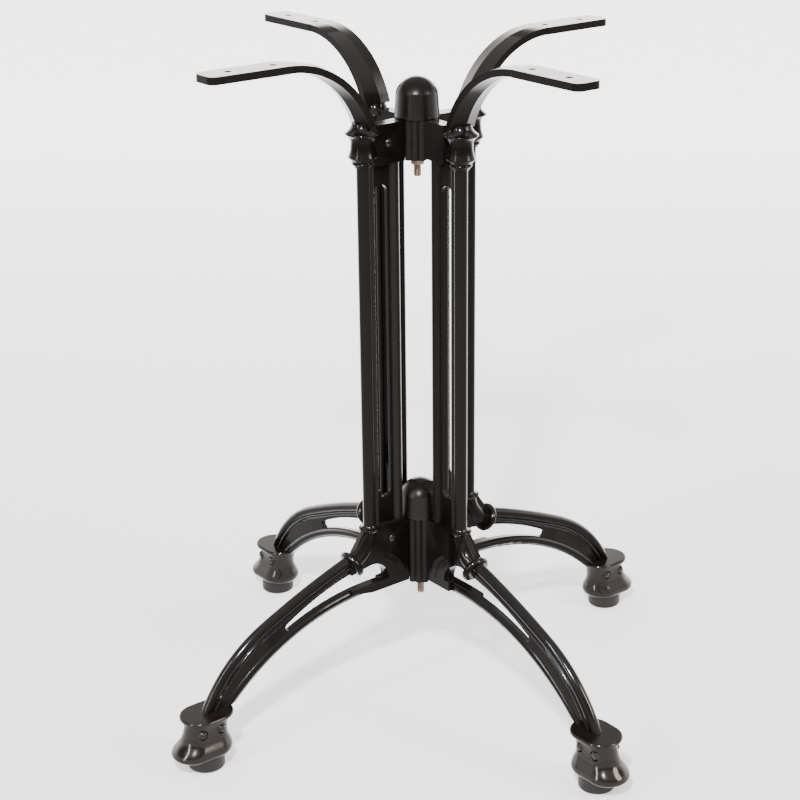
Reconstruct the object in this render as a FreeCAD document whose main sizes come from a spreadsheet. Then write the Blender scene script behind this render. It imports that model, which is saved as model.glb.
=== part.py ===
import FreeCAD, Part
import math
import os
import re
import Sketcher

# Cast four star table base: four identical leg castings stand around one axis and
# are bolted to an upper and a lower hub. Each hub carries a domed cap on a threaded
# stud, and each leg ends in a cast shoe with two cross bolts and a round glide.
# Legs stand on +X, +Y, -X and -Y, the origin is on the floor under the axis.

SIZES = {
    # Overall heights and reaches
    "base_top": 720.0,
    "arm_reach": 252.0,
    # Column of one leg: outer and inner rod, web and long slot
    "col_r": 69.5,
    "col_rod": 13.8,
    "inner_r": 32.5,
    "inner_rod": 13.2,
    "web_t": 6.0,
    "bead_d": 5.0,
    "bead_in": 7.2,
    "bead_out": 3.8,
    "col_web_t": 4.2,
    "slot_in": 41.0,
    "slot_out": 58.6,
    "slot_low": 240.0,
    "slot_drop": 62.7,
    # Hubs: boss, reeds and tabs
    "boss_r": 17.0,
    "reed_r": 4.2,
    "reed_step": 23.0,
    "tab_t": 7.2,
    "lap_gap": 0.15,
    "lap_in": 22.0,
    "lap_join": 2.0,
    "bore_gap": 0.4,
    "high_drop": 73.3,
    "high_tab_tall": 39.2,
    "high_tab_out": 50.4,
    "high_boss_tall": 41.6,
    "low_tab_low": 133.5,
    "low_tab_tall": 72.5,
    "low_tab_out": 58.0,
    "low_boss_tall": 76.3,
    # Domed caps, studs, washers and nuts
    "dome_r": 23.2,
    "dome_neck": 21.4,
    "dome_side": 26.0,
    "dome_tall": 41.0,
    "dome_wall": 3.5,
    "stud_d": 8.0,
    "stud_in": 30.0,
    "high_tail": 12.6,
    "low_tail": 20.9,
    "nut_flats": 13.0,
    "nut_tall": 6.5,
    "washer_d": 17.0,
    "washer_t": 1.6,
    "high_recess": 0.8,
    "low_recess": 8.0,
    # Lap screws through the leg plate into the hub tab
    "lap_bolt_d": 5.0,
    "lap_head_d": 8.5,
    "lap_head_t": 2.4,
    "lap_bite": 5.5,
    "high_bolt_r": 42.4,
    "high_bolt_drop": 19.4,
    "low_bolt_r": 45.0,
    "low_bolt_drop": 14.5,
    # Capital under the arm, its levels measured down from the hub's top
    "cap_lip_r": 18.3,
    "cap_lip_drop": 7.2,
    "cap_edge": 0.9,
    "cap_neck_r": 12.3,
    "cap_neck_drop": 18.2,
    "cap_bell_r": 15.2,
    "cap_bell_drop": 31.0,
    "cap_ring_r": 11.4,
    "cap_ring_drop": 37.5,
    "cap_foot_r": 8.0,
    "cap_foot_drop": 42.5,
    "cap_top_r": 10.5,
    "cap_top_rise": 3.3,
    # Arm
    "arm_w": 32.0,
    "arm_t": 7.5,
    "arm_bend": 101.5,
    "arm_root": 1.5,
    "arm_keel": 5.2,
    "arm_turn": 71.0,
    "arm_corner": 8.0,
    "hole_in_gap": 9.03,
    "hole_out_gap": 28.5,
    "hole_d": 7.0,
    # Elbow and collars between column and leg
    "foot_bead_r": 12.4,
    "foot_bead_rise": 2.0,
    "foot_bead_t": 9.0,
    "elbow_d": 17.0,
    "elbow_bend": 37.0,
    "elbow_turn": 60.0,
    "elbow_run": 7.0,
    "ring_r": 16.0,
    "ring_t": 8.0,
    "ring_tilt": 28.0,
    # Leg: upper rib, strap and the opening between them
    "rib_rod": 12.0,
    "rib_depth": 18.5,
    "rib_r1": 900.0,
    "rib_r2": 165.0,
    "rib_start_x": 100.0,
    "rib_start_z": 183.0,
    "rib_mid_back": 72.0,
    "rib_mid_z": 138.5,
    "rib_past": 4.0,
    "strap_rod": 10.4,
    "strap_r": 260.0,
    "strap_bend_x": 72.5,
    "strap_depth": 11.0,
    "open_in": 50.0,
    "open_r": 22.5,
    "open_top_r": 300.0,
    "open_end_x": 183.0,
    "open_end_z": 129.8,
    # Raised arches round the inner end of the opening: centre, radius, width and height
    "arch_a_x": 65.5,
    "arch_a_z": 138.1,
    "arch_a_r": 39.2,
    "arch_b_x": 79.5,
    "arch_b_z": 130.6,
    "arch_b_r": 46.9,
    "arch_w": 2.4,
    "arch_h": 0.8,
    # Tang of the leg inside the shoe, leaning outward like the leg above it
    "shoe_top": 62.0,
    "tang_low": 32.0,
    "tang_back": 23.0,
    "tang_past": 3.5,
    "tang_lean": 0.69,
    "fit_gap": 0.25,
    # Shoe: flange, waist and skirt
    "shoe_low": 17.0,
    "shoe_r": 285.0,
    "shoe_half": 7.0,
    "flange_t": 4.6,
    "flange_round": 22.3,
    "waist_round": 15.8,
    "skirt_round": 23.2,
    "cross_d": 6.0,
    "cross_head_d": 9.0,
    "cross_head_t": 3.4,
    "cross_recess_d": 11.0,
    "cross_seat": 13.8,
    "cross_back": 8.0,
    "cross_past": 14.5,
    "cross_z": 46.0,
    # Glide
    "glide_past": 3.0,
    "glide_d": 38.6,
    "glide_stud_d": 10.0,
    "glide_stud_top": 27.0,
    "glide_edge": 3.0,
}

# Places that follow from the sizes above
DERIVED = {
    "high_tab_top": "base_top - high_drop",
    "high_tab_low": "high_tab_top - high_tab_tall",
    "high_boss_low": "high_tab_top - high_boss_tall",
    "high_bolt_z": "high_tab_top - high_bolt_drop",
    "slot_high": "high_tab_top - slot_drop",
    "low_tab_top": "low_tab_low + low_tab_tall",
    "low_boss_low": "low_tab_top - low_boss_tall",
    "low_bolt_z": "low_tab_top - low_bolt_drop",
    "foot_bead_z": "low_tab_top + foot_bead_rise",
    "cap_lip_z": "high_tab_top - cap_lip_drop",
    "cap_neck_z": "high_tab_top - cap_neck_drop",
    "cap_bell_z": "high_tab_top - cap_bell_drop",
    "cap_ring_z": "high_tab_top - cap_ring_drop",
    "cap_foot_z": "high_tab_top - cap_foot_drop",
    "cap_top_z": "high_tab_top + cap_top_rise",
    "arm_bend_r": "col_r - arm_root + arm_bend * sin(arm_turn * 1deg)",
    "hole_in": "arm_bend_r + hole_in_gap",
    "hole_out": "arm_reach - hole_out_gap",
    "rib_mid_x": "shoe_r - rib_mid_back",
    "rib_end_x": "shoe_r + rib_past",
    "tang_in": "shoe_r - tang_back",
    "tang_out": "shoe_r + tang_past",
    "cross_in_r": "shoe_r - cross_back",
    "cross_out_r": "shoe_r + cross_past",
    "glide_r": "shoe_r + glide_past",
    "dome_rise": "dome_tall - dome_side",
    "dome_round": "dome_neck * dome_neck / (2 * dome_rise) + dome_rise / 2",
    "strap_centre_z": "low_tab_low - strap_r",
    "strap_inner": "strap_r + strap_depth",
    "open_low_z": "low_tab_low + strap_depth",
}

doc = FreeCAD.newDocument("table_base")
sheet = doc.addObject("Spreadsheet::Sheet", "Sizes")
for row, (alias, value) in enumerate(SIZES.items(), start=1):
    sheet.set(f"A{row}", alias)
    sheet.set(f"B{row}", str(value))
    sheet.setAlias(f"B{row}", alias)
doc.recompute()

WORD = re.compile(r"[a-z][a-z0-9_]*")
SPREAD = FreeCAD.Vector(0, 0, 1)


def bound(text):
    """Formula text with every size name pointing at the sheet."""
    def swap(match):
        word = match.group()
        if word in DERIVED:
            return "(" + bound(DERIVED[word]) + ")"
        return "Sizes." + word if word in SIZES else word
    return WORD.sub(swap, str(text))


def number(text):
    """Present value of a formula."""
    result = sheet.evalExpression(bound(text))
    return float(getattr(result, "Value", result))


def bind(thing, prop, text):
    """Bind one property of a document object to a formula."""
    thing.setExpression(prop, bound(text))


def new_body(name):
    """An empty body with its own label."""
    body = doc.addObject("PartDesign::Body", name)
    body.Label = name
    return body


def new_sketch(body, name, plane="XZ_Plane", shift=("0", "0", "0"), turn=None):
    """Sketch on one of the body's own planes, shifted in the plane and along its normal."""
    sketch = body.newObject("Sketcher::SketchObject", name)
    base = [f for f in body.Origin.OriginFeatures if f.Role == plane][0]
    sketch.AttachmentSupport = [(base, "")]
    sketch.MapMode = "FlatFace"
    spot = FreeCAD.Vector(*[number(part) for part in shift])
    sketch.AttachmentOffset = FreeCAD.Placement(spot, turn or FreeCAD.Rotation())
    for axis, part in zip("xyz", shift):
        bind(sketch, f"AttachmentOffset.Base.{axis}", part)
    return sketch


def hold(sketch, kind, geometry, point, text):
    """One dimension of a sketch, bound to a formula."""
    if point is None:
        index = sketch.addConstraint(Sketcher.Constraint(kind, geometry, number(text)))
    else:
        index = sketch.addConstraint(Sketcher.Constraint(kind, geometry, point, number(text)))
    bind(sketch, f"Constraints[{index}]", text)


def circle(sketch, x, z, diameter):
    """Circle with its centre and diameter bound."""
    centre = FreeCAD.Vector(number(x), number(z), 0)
    index = sketch.addGeometry(Part.Circle(centre, SPREAD, number(diameter) / 2))
    hold(sketch, "Diameter", index, None, diameter)
    hold(sketch, "DistanceX", index, 3, x)
    hold(sketch, "DistanceY", index, 3, z)


def arc_between(start, end, radius, side):
    """Arc under half a turn between two points, its centre on the left or right of the way."""
    chord = end - start
    half = chord.Length / 2
    normal = FreeCAD.Vector(-chord.y, chord.x, 0).normalize()
    if side == "right":
        normal = normal * -1
    centre = start + chord * 0.5 + normal * math.sqrt(max(radius * radius - half * half, 0))
    first = math.atan2(start.y - centre.y, start.x - centre.x)
    last = math.atan2(end.y - centre.y, end.x - centre.x)
    if side == "right":
        first, last = last, first
    return Part.ArcOfCircle(Part.Circle(centre, SPREAD, radius), first, last)


def outline(sketch, corners, closed=True):
    """Chain of lines and arcs. A corner is (x, z) or (x, z, radius, side) for an arc that leaves it."""
    spots = [FreeCAD.Vector(number(c[0]), number(c[1]), 0) for c in corners]
    count = len(corners) if closed else len(corners) - 1
    ends = []
    for i in range(count):
        start, end = spots[i], spots[(i + 1) % len(spots)]
        if len(corners[i]) == 2:
            index = sketch.addGeometry(Part.LineSegment(start, end))
            ends.append((index, 1, 2))
        else:
            radius, side = corners[i][2:]
            index = sketch.addGeometry(arc_between(start, end, number(radius), side))
            hold(sketch, "Radius", index, None, radius)
            ends.append((index, 1, 2) if side == "left" else (index, 2, 1))
    for i in range(count):
        index, first, last = ends[i]
        hold(sketch, "DistanceX", index, first, corners[i][0])
        hold(sketch, "DistanceY", index, first, corners[i][1])
        if closed or i + 1 < count:
            follow = ends[(i + 1) % count]
            sketch.addConstraint(Sketcher.Constraint("Coincident", index, last, follow[0], follow[1]))
        else:
            hold(sketch, "DistanceX", index, last, corners[i + 1][0])
            hold(sketch, "DistanceY", index, last, corners[i + 1][1])
    return sketch


def box_outline(sketch, left, low, right, top):
    """Rectangle between four formulas."""
    return outline(sketch, [(left, low), (right, low), (right, top), (left, top)])


def pad(body, name, sketch, length, middle=False, reverse=False):
    """Straight extrusion of a sketch."""
    feature = body.newObject("PartDesign::Pad", name)
    feature.Profile = sketch
    feature.Length = number(length)
    bind(feature, "Length", length)
    feature.Midplane = middle
    feature.Reversed = reverse
    doc.recompute()
    return feature


def pocket(body, name, sketch, length=None, middle=True, reverse=False):
    """Straight cut, right through when no length is given; it must remove metal."""
    before = body.Shape.Volume
    feature = body.newObject("PartDesign::Pocket", name)
    feature.Profile = sketch
    feature.Midplane = middle
    feature.Reversed = reverse
    if length is None:
        feature.Type = 1
    else:
        feature.Length = number(length)
        bind(feature, "Length", length)
    doc.recompute()
    if not body.Shape.Volume < before:
        raise RuntimeError(f"{body.Label}.{name} cuts nothing")
    return feature


def turned(body, name, sketch):
    """Revolution of a sketch about its own upright axis."""
    feature = body.newObject("PartDesign::Revolution", name)
    feature.Profile = sketch
    feature.ReferenceAxis = (sketch, ["V_Axis"])
    feature.Angle = 360
    doc.recompute()
    return feature


def swept(body, name, profile, spine):
    """Pipe of a profile along a path sketch."""
    feature = body.newObject("PartDesign::AdditivePipe", name)
    feature.Profile = profile
    feature.Spine = (spine, ["Edge%d" % (i + 1) for i in range(spine.GeometryCount)])
    doc.recompute()
    return feature


def upright_turn(angle):
    """Turn about +Z in degrees."""
    return FreeCAD.Rotation(SPREAD, angle)


nodes = []


def keep(thing, name):
    """Mark a finished sub-part, whose label names its file."""
    thing.Label = name
    nodes.append(thing)


def four_around(master, names, first=0):
    """Copies of a master at quarter turns about the axis."""
    for i, name in enumerate(names):
        copy = doc.addObject("PartDesign::SubShapeBinder", name)
        copy.Support = [(master, ("",))]
        copy.Placement = FreeCAD.Placement(FreeCAD.Vector(), upright_turn(90 * (i + first)))
        keep(copy, name)
    doc.recompute()


COMPASS = ("east", "north", "west", "south")

def on_strap(x, radius="strap_r"):
    """Height of a circle round the strap's centre at a given distance from the axis."""
    return f"strap_centre_z + sqrt(pow({radius}; 2) - pow({x} - strap_bend_x; 2))"


def opening(sketch):
    """Long tapered opening, its inner end a round arch."""
    outline(sketch, [
        ("open_in", "open_low_z", "open_r", "right"),
        ("open_in + open_r", "open_low_z + open_r", "open_top_r", "right"),
        ("open_end_x", "open_end_z", "4.3", "right"),
        (f"open_end_x - 2.6", on_strap("(open_end_x - 2.6)", "strap_inner"), "strap_inner", "left"),
        ("strap_bend_x", "open_low_z"),
    ])
    return sketch


def raised_arch(body, name, arch, first, last, outward):
    """Thin raised arc on the face of the lap plate or of the hub tab that lies on its other side."""
    face = "lap_gap + tab_t - 0.2"
    shift = ("0", "0", face if outward else f"0 - ({face})")
    sketch = new_sketch(body, name + "Sketch", shift=shift)
    corners = []
    for radius, angle in ((1, first), (1, last), (-1, last), (-1, first)):
        reach = f"({arch}_r + {radius} * arch_w / 2)"
        corners.append((f"{arch}_x + {reach} * cos({angle} * 1deg)", f"{arch}_z + {reach} * sin({angle} * 1deg)"))
    outer = f"{arch}_r + arch_w / 2"
    inner = f"{arch}_r - arch_w / 2"
    corners[0] += (outer, "left")
    corners[2] += (inner, "right")
    outline(sketch, corners)
    return pad(body, name, sketch, "arch_h + 0.2", reverse=not outward)


def tang_outline(sketch, grow, above):
    """Leaning tang of the leg, grown all round for the slot that takes it."""
    drop = "(shoe_top - tang_low)"
    return outline(sketch, [
        (f"tang_in - {grow} - {above} * tang_lean", f"shoe_top + {above}"),
        (f"tang_in - {grow} + {drop} * tang_lean", f"tang_low - {grow}"),
        (f"tang_out + {grow} + {drop} * tang_lean", f"tang_low - {grow}"),
        (f"tang_out + {grow} - {above} * tang_lean", f"shoe_top + {above}"),
    ])


def bolt_hole(body, name, r, z, diameter):
    """Round hole right through a body along its own Y."""
    sketch = new_sketch(body, name + "Sketch")
    circle(sketch, r, z, diameter)
    pocket(body, name, sketch)


# Leg casting


def rib_path(body, name, inset):
    """Path of a bead along the upper rib, a given depth inside its outer edge."""
    start = FreeCAD.Vector(number("rib_start_x"), number("rib_start_z"), 0)
    middle = FreeCAD.Vector(number("rib_mid_x"), number("rib_mid_z"), 0)
    gentle = arc_between(start, middle, number("rib_r1"), "right")
    centre_one = gentle.Center
    ray = (middle - centre_one).normalize()
    centre_two = middle - ray * number("rib_r2")
    depth = number(inset)
    end_angle = math.acos((number("rib_end_x") - centre_two.x) / number("rib_r2")) - math.radians(6)
    last = FreeCAD.Vector(math.cos(end_angle), math.sin(end_angle), 0)
    sketch = new_sketch(body, name)
    first_ray = (start - centre_one).normalize()
    first = math.atan2(first_ray.y, first_ray.x)
    turn = math.atan2(ray.y, ray.x)
    long_arc = Part.ArcOfCircle(Part.Circle(centre_one, SPREAD, number("rib_r1") - depth), turn, first)
    short_arc = Part.ArcOfCircle(Part.Circle(centre_two, SPREAD, number("rib_r2") - depth), end_angle, turn)
    for arc in (long_arc, short_arc):
        index = sketch.addGeometry(arc)
        sketch.addConstraint(Sketcher.Constraint("Block", index))
    along = FreeCAD.Vector(first_ray.y, -first_ray.x, 0)
    return sketch, first_ray * (number("rib_r1") - depth) + centre_one, along, last


def section_sketch(body, name, spot, along, side, diameter):
    """Round section square to a path that starts at a spot of the leg's plane."""
    angle = math.degrees(math.atan2(along.y, along.x))
    tilt = FreeCAD.Rotation(FreeCAD.Vector(1, 0, 0), FreeCAD.Vector(along.x, 0, along.y))
    sketch = body.newObject("Sketcher::SketchObject", name)
    base = [f for f in body.Origin.OriginFeatures if f.Role == "YZ_Plane"][0]
    sketch.AttachmentSupport = [(base, "")]
    sketch.MapMode = "FlatFace"
    plane_turn = FreeCAD.Rotation(FreeCAD.Vector(1, 0, 0), FreeCAD.Vector(0, 1, 0), FreeCAD.Vector(0, 0, 1), "ZXY")
    frame = FreeCAD.Placement(FreeCAD.Vector(), FreeCAD.Rotation(0.5, 0.5, 0.5, 0.5))
    target = FreeCAD.Placement(FreeCAD.Vector(spot.x, 0, spot.y), tilt.multiply(frame.Rotation))
    sketch.AttachmentOffset = frame.inverse().multiply(target)
    circle(sketch, side, "0", diameter)
    return sketch


def make_leg():
    """One casting: arm, capital, slotted column, elbow, ribbed leg and tang."""
    body = new_body("leg_casting")

    # Column web with its long slot, then the rods and beads that run up its edges
    web = box_outline(new_sketch(body, "ColumnWebSketch"), "inner_r", "low_tab_top + lap_gap",
                      "col_r", "high_tab_low - lap_gap")
    pad(body, "ColumnWeb", web, "col_web_t", middle=True)
    slot_r = "(slot_out - slot_in) / 2"
    slot = outline(new_sketch(body, "SlotSketch"), [
        ("slot_in", f"slot_low + {slot_r}", slot_r, "left"),
        (f"slot_in + {slot_r}", "slot_low", slot_r, "left"),
        ("slot_out", f"slot_low + {slot_r}"),
        ("slot_out", f"slot_high - {slot_r}", slot_r, "left"),
        (f"slot_in + {slot_r}", "slot_high", slot_r, "left"),
        ("slot_in", f"slot_high - {slot_r}"),
    ])
    pocket(body, "Slot", slot)
    level = ("0", "0", "low_tab_top + lap_gap")
    inner = new_sketch(body, "InnerRodSketch", "XY_Plane", level)
    circle(inner, "inner_r", "0", "inner_rod")
    pad(body, "InnerRod", inner, "high_tab_low - low_tab_top - 2 * lap_gap")
    outer = new_sketch(body, "OuterRodSketch", "XY_Plane", level)
    circle(outer, "col_r", "0", "col_rod")
    pad(body, "OuterRod", outer, "high_tab_low - low_tab_top + 20")
    beads = new_sketch(body, "ColumnBeadSketch", "XY_Plane", level)
    for side in ("bead_out", "-bead_out"):
        circle(beads, "col_r - bead_in", side, "bead_d")
    pad(body, "ColumnBeads", beads, "high_tab_low - low_tab_top")

    # Lap plates that lie against the hub tabs
    high = box_outline(new_sketch(body, "HighLapSketch", shift=("0", "0", "-lap_gap")),
                       "lap_in", "high_tab_low - lap_join", "col_r", "high_tab_top - lap_gap")
    pad(body, "HighLap", high, "tab_t", reverse=True)
    low = outline(new_sketch(body, "LowLapSketch", shift=("0", "0", "-lap_gap")), [
        ("lap_in", "low_tab_low"),
        ("strap_bend_x", "low_tab_low"),
        ("rib_start_x", "low_tab_low + 6"),
        ("rib_start_x", "rib_start_z - 4"),
        ("col_r + 4", "low_tab_top + 4"),
        ("lap_in + 4.5", "low_tab_top + 4"),
        ("lap_in + 4.5", "low_tab_top - lap_gap"),
        ("lap_in", "low_tab_top - lap_gap"),
    ])
    pad(body, "LowLap", low, "tab_t", reverse=True)

    raised_arch(body, "ArchA", "arch_a", 113, 169, False)
    raised_arch(body, "ArchB", "arch_b", 120, 167, False)

    # Leg plate between rib and strap
    middle_z = "rib_mid_z - rib_rod / 2"
    plate = outline(new_sketch(body, "LegPlateSketch"), [
        ("low_tab_out + 0.4", "low_tab_low"),
        ("strap_bend_x", "low_tab_low", "strap_r", "right"),
        ("strap_bend_x + 186", on_strap("(strap_bend_x + 186)")),
        ("rib_end_x - 4", on_strap("(strap_bend_x + 186)")),
        ("rib_end_x - 5", "shoe_top", "rib_r2", "left"),
        ("rib_mid_x", middle_z),
        ("rib_start_x", "rib_start_z - rib_rod / 2"),
        ("col_r + 6", "low_tab_top + 6"),
        ("low_tab_out + 0.4", "low_tab_top + 6"),
    ])
    pad(body, "LegPlate", plate, "web_t", middle=True)
    pocket(body, "Opening", opening(new_sketch(body, "OpeningSketch")))

    # Upper rib: a round rod with a small bead on each side of the plate
    for name, inset, side, size in (("RibRod", "rib_rod / 2", "0", "rib_rod"),
                                    ("RibBeadA", "rib_rod / 2 + bead_in", "web_t / 2", "bead_d"),
                                    ("RibBeadB", "rib_rod / 2 + bead_in", "-web_t / 2", "bead_d")):
        path, spot, along, last = rib_path(body, name + "Path", inset)
        section = section_sketch(body, name + "Sketch", spot, along, side, size)
        if side != "0":
            path.AttachmentOffset = FreeCAD.Placement(FreeCAD.Vector(0, 0, -number(side)), FreeCAD.Rotation())
            bind(path, "AttachmentOffset.Base.z", "0 - (" + side + ")")
        swept(body, name, section, path)

    # Strap rod along the lower edge
    strap_mid = "(strap_r + strap_rod / 2)"
    low_path = outline(new_sketch(body, "StrapPath"), [
        ("low_tab_out + 7", f"low_tab_low + strap_rod / 2"),
        ("strap_bend_x", f"low_tab_low + strap_rod / 2", strap_mid, "right"),
        ("strap_bend_x + 190", on_strap("(strap_bend_x + 190)", strap_mid)),
    ], closed=False)
    spot = FreeCAD.Vector(number("low_tab_out + 7"), number("low_tab_low + strap_rod / 2"), 0)
    strap = section_sketch(body, "StrapSketch", spot, FreeCAD.Vector(1, 0, 0), "0", "strap_rod")
    swept(body, "StrapRod", strap, low_path)

    # Elbow from the column's foot to the tilted ring
    drop = "elbow_bend * sin(elbow_turn * 1deg)"
    bend_end = ("col_r + elbow_bend * (1 - cos(elbow_turn * 1deg))", f"foot_bead_z - {drop}")
    ring_at = (f"{bend_end[0]} + elbow_run * sin(elbow_turn * 1deg)",
               f"{bend_end[1]} - elbow_run * cos(elbow_turn * 1deg)")
    elbow_path = outline(new_sketch(body, "ElbowPath"), [
        ("col_r", "foot_bead_z", "elbow_bend", "left"), bend_end, ring_at], closed=False)
    elbow = new_sketch(body, "ElbowSketch", "XY_Plane", ("0", "0", "foot_bead_z"))
    circle(elbow, "col_r", "0", "elbow_d")
    swept(body, "Elbow", elbow, elbow_path)
    tilt = upright_turn(-number("ring_tilt") - 90 + 180)
    ring = new_sketch(body, "RingSketch", shift=(ring_at[0], ring_at[1], "0"), turn=tilt)
    outline(ring, [
        ("0", "0 - ring_t / 2"),
        ("ring_r - ring_t / 2", "0 - ring_t / 2", "ring_t / 2", "left"),
        ("ring_r", "0", "ring_t / 2", "left"),
        ("ring_r - ring_t / 2", "ring_t / 2"),
        ("0", "ring_t / 2"),
    ])
    turned(body, "Ring", ring)
    bead = outline(new_sketch(body, "FootBeadSketch", shift=("col_r", "foot_bead_z", "0")), [
        ("0", "0 - foot_bead_t / 2"),
        ("elbow_d / 2 - 0.2", "0 - foot_bead_t / 2", "5", "right"),
        ("foot_bead_r - cap_edge", "0 - cap_edge", "1.1", "left"),
        ("foot_bead_r - cap_edge", "cap_edge", "5", "right"),
        ("col_rod / 2 - 0.2", "foot_bead_t / 2"),
        ("0", "foot_bead_t / 2"),
    ])
    turned(body, "FootBead", bead)

    # Capital, turned round the column's outer rod
    capital = outline(new_sketch(body, "CapitalSketch", shift=("col_r", "0", "0")), [
        ("0", "cap_foot_z"),
        ("cap_foot_r", "cap_foot_z"),
        ("cap_ring_r - cap_edge", "cap_ring_z - 1.4", "1.4", "left"),
        ("cap_ring_r - cap_edge", "cap_ring_z + 1.2"),
        ("cap_bell_r - cap_edge", "cap_bell_z - cap_edge", "1.2", "left"),
        ("cap_bell_r - cap_edge / 2", "cap_bell_z + cap_edge / 2", "34", "right"),
        ("cap_neck_r", "cap_neck_z", "10", "right"),
        ("cap_lip_r - cap_edge", "cap_lip_z - cap_edge", "1.1", "left"),
        ("cap_lip_r - cap_edge", "cap_lip_z + cap_edge", "14", "right"),
        ("cap_top_r", "cap_top_z"),
        ("0", "cap_top_z"),
    ])
    turned(body, "Capital", capital)

    # Arm: a bent bar whose two broad faces rise to a keel towards the capital
    sections = []
    for i, share in enumerate((1.0, 0.72, 0.45, 0.22, 0.0)):
        angle = number("arm_turn") * share
        keel = "arm_t / 2 - 0.2" if share == 0 else f"arm_t / 2 + arm_keel * {share}"
        sketch = body.newObject("Sketcher::SketchObject", f"ArmSection{i}")
        base = [f for f in body.Origin.OriginFeatures if f.Role == "YZ_Plane"][0]
        sketch.AttachmentSupport = [(base, "")]
        sketch.MapMode = "FlatFace"
        centre = FreeCAD.Vector(number("arm_bend_r"), 0, number("base_top - arm_t / 2 - arm_bend"))
        swing = FreeCAD.Rotation(FreeCAD.Vector(0, 1, 0), -angle)
        spot = centre + swing.multVec(FreeCAD.Vector(0, 0, number("arm_bend")))
        frame = FreeCAD.Placement(FreeCAD.Vector(), FreeCAD.Rotation(0.5, 0.5, 0.5, 0.5))
        target = FreeCAD.Placement(spot, swing.multiply(frame.Rotation))
        sketch.AttachmentOffset = frame.inverse().multiply(target)
        edge = "arm_t / 2 - 0.2"
        half = "arm_w / 2 - 0.3"
        outline(sketch, [
            (f"0 - ({half})", f"0 - ({edge})"), ("0", f"0 - ({keel})"), (half, f"0 - ({edge})"),
            (half, edge), ("0", keel), (f"0 - ({half})", edge),
        ])
        sections.append(sketch)
    loft = body.newObject("PartDesign::AdditiveLoft", "ArmBend")
    loft.Profile = sections[0]
    loft.Sections = sections[1:]
    doc.recompute()
    bar = new_sketch(body, "ArmPadSketch", "XY_Plane", ("0", "0", "base_top"))
    outline(bar, [
        ("arm_bend_r - 2", "0 - arm_w / 2"),
        ("arm_reach - arm_corner", "0 - arm_w / 2", "arm_corner", "left"),
        ("arm_reach", "arm_corner - arm_w / 2"),
        ("arm_reach", "arm_w / 2 - arm_corner", "arm_corner", "left"),
        ("arm_reach - arm_corner", "arm_w / 2"),
        ("arm_bend_r - 2", "arm_w / 2"),
    ])
    pad(body, "ArmPad", bar, "arm_t", reverse=True)
    holes = new_sketch(body, "ArmHoleSketch", "XY_Plane", ("0", "0", "base_top"))
    circle(holes, "hole_in", "0", "hole_d")
    circle(holes, "hole_out", "0", "hole_d")
    pocket(body, "ArmHoles", holes, "arm_t + 2", middle=False)

    # Foot cut level at the shoe's top, and the tang that goes into the shoe
    foot = box_outline(new_sketch(body, "FootCutSketch"), "tang_in - 40", "shoe_top - 40",
                       "tang_out + 40", "shoe_top")
    pocket(body, "FootCut", foot)
    pad(body, "Tang", tang_outline(new_sketch(body, "TangSketch"), "0", "1"), "web_t", middle=True)

    # Bolt holes
    bolt_hole(body, "HighBoltHole", "high_bolt_r", "high_bolt_z", "lap_bolt_d + bore_gap")
    bolt_hole(body, "LowBoltHole", "low_bolt_r", "low_bolt_z", "lap_bolt_d + bore_gap")
    bolt_hole(body, "CrossHoleIn", "cross_in_r", "cross_z", "cross_d + bore_gap")
    bolt_hole(body, "CrossNotch", "cross_out_r", "cross_z", "cross_d + bore_gap")
    return body


def make_hub(name, level):
    """Hub of boss, reeds and four tabs; level is "high" or "low"."""
    body = new_body(name)
    low, top = f"{level}_boss_low", f"{level}_tab_top"
    core = new_sketch(body, "CoreSketch", "XY_Plane", ("0", "0", low))
    circle(core, "0", "0", "2 * boss_r")
    pad(body, "Core", core, f"{top} - {low}")
    reeds = new_sketch(body, "ReedSketch", "XY_Plane", ("0", "0", low))
    for quarter in range(4):
        for step in (-1, 0, 1):
            turn = f"({45 + 90 * quarter} + {step} * reed_step) * 1deg"
            circle(reeds, f"boss_r * cos({turn})", f"boss_r * sin({turn})", "2 * reed_r")
    pad(body, "Reeds", reeds, f"{top} - {low}")
    tab = new_sketch(body, "TabSketch", shift=("0", "0", "lap_gap"))
    if level == "high":
        box_outline(tab, "0", "high_tab_low", "high_tab_out", "high_tab_top")
    else:
        reach = "(open_in + open_r - low_tab_out)"
        outline(tab, [
            ("0", "low_tab_low"),
            ("low_tab_out", "low_tab_low"),
            ("low_tab_out", "open_low_z"),
            ("open_in", "open_low_z", "open_r", "right"),
            ("low_tab_out", f"open_low_z + sqrt(pow(open_r; 2) - pow({reach}; 2))"),
            ("low_tab_out", "low_tab_top"),
            ("0", "low_tab_top"),
        ])
    plate = pad(body, "Tab", tab, "tab_t")
    hole = new_sketch(body, "ScrewHoleSketch")
    circle(hole, f"{level}_bolt_r", f"{level}_bolt_z", "lap_bolt_d")
    drilled = pocket(body, "ScrewHole", hole, "lap_gap + lap_bite + 0.6", middle=False, reverse=True)
    repeated = [plate, drilled]
    if level == "low":
        repeated.append(raised_arch(body, "ArchA", "arch_a", 113, 169, True))
        repeated.append(raised_arch(body, "ArchB", "arch_b", 120, 167, True))
    around = body.newObject("PartDesign::PolarPattern", "Tabs")
    around.Originals = repeated
    around.Axis = ([f for f in body.Origin.OriginFeatures if f.Role == "Z_Axis"][0], [""])
    around.Angle = 360
    around.Occurrences = 4
    body.Tip = around
    doc.recompute()
    bore = new_sketch(body, "BoreSketch", "XY_Plane", ("0", "0", low))
    circle(bore, "0", "0", "stud_d + bore_gap")
    pocket(body, "Bore", bore, f"{top} - {low}", middle=False, reverse=True)
    recess = new_sketch(body, "RecessSketch", "XY_Plane", ("0", "0", low))
    circle(recess, "0", "0", "washer_d + 1")
    pocket(body, "Recess", recess, f"{level}_recess", middle=False, reverse=True)
    return body


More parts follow.
